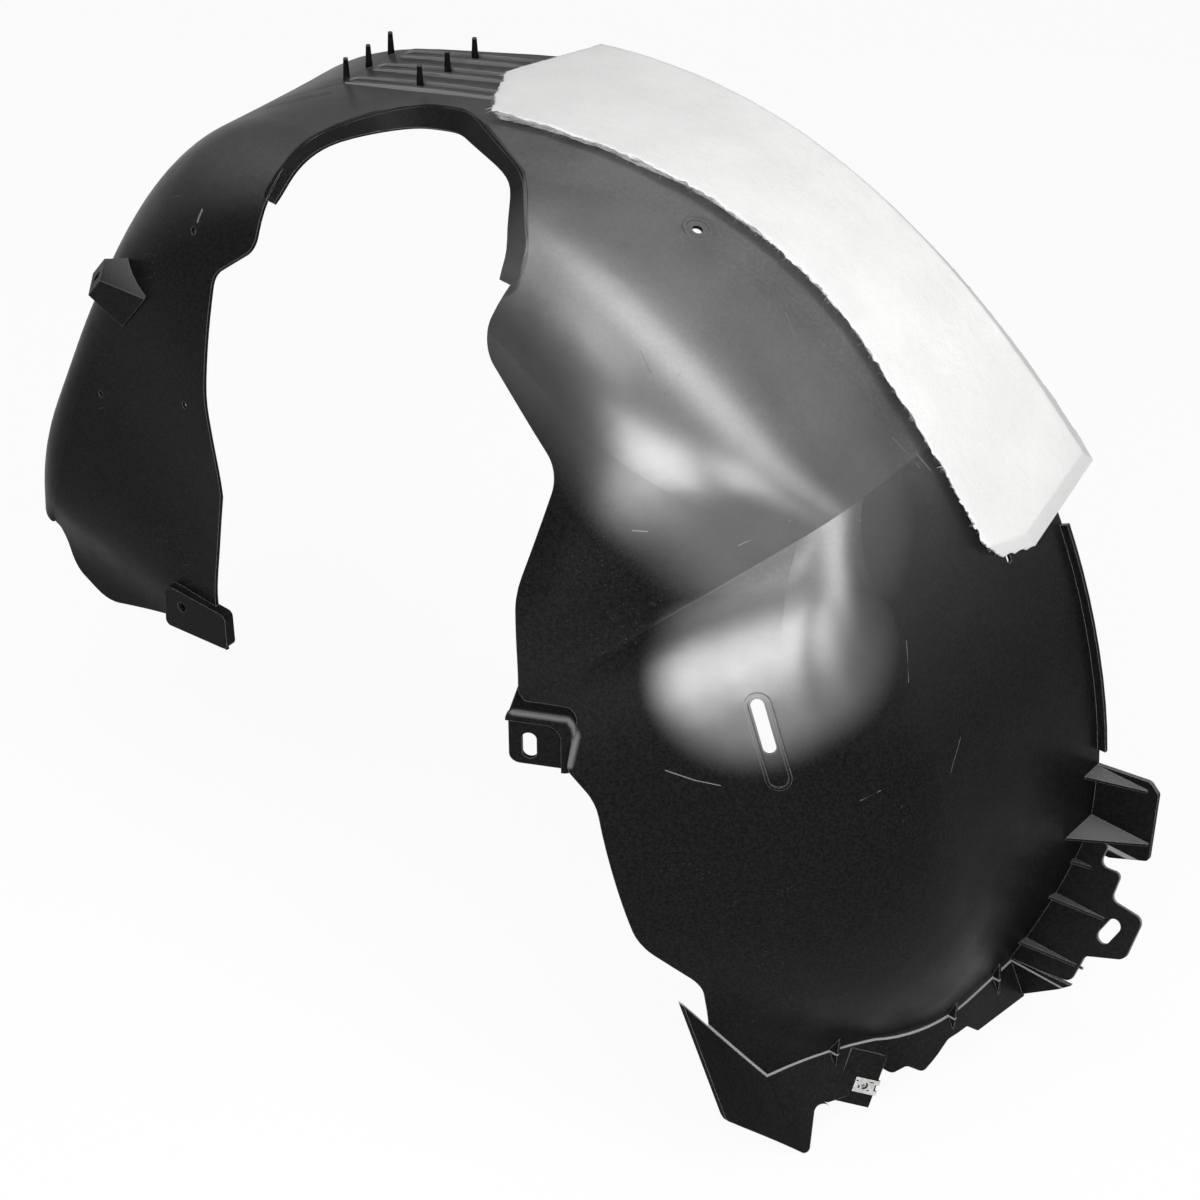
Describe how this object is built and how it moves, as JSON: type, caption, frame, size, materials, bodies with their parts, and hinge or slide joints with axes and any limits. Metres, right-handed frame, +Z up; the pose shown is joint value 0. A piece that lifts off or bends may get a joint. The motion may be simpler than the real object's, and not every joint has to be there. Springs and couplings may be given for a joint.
{
  "type": "wheel arch liner",
  "caption": "Moulded inner liner of a front wheel arch with a strut cut-out, slotted fixing tabs, a bonded foam strip and a spring nut on its foot.",
  "frame": {"origin": "on the wheel's axis, in the plane of the liner's outboard edge", "axes": "+X to the rear of the car, +Y outboard along the wheel's axis, +Z up"},
  "size_m": [0.8332, 0.3811, 0.6017],
  "materials": {
    "shell_plastic": "black moulded plastic, half gloss, scuffed",
    "foam": "light closed-cell foam with cut and torn edges",
    "nut_steel": "bright plated spring steel"
  },
  "bodies": {
    "root": {"liner_shell": "shell_plastic", "foam_pad": "foam", "spring_nut": "nut_steel"}
  },
  "joints": []
}
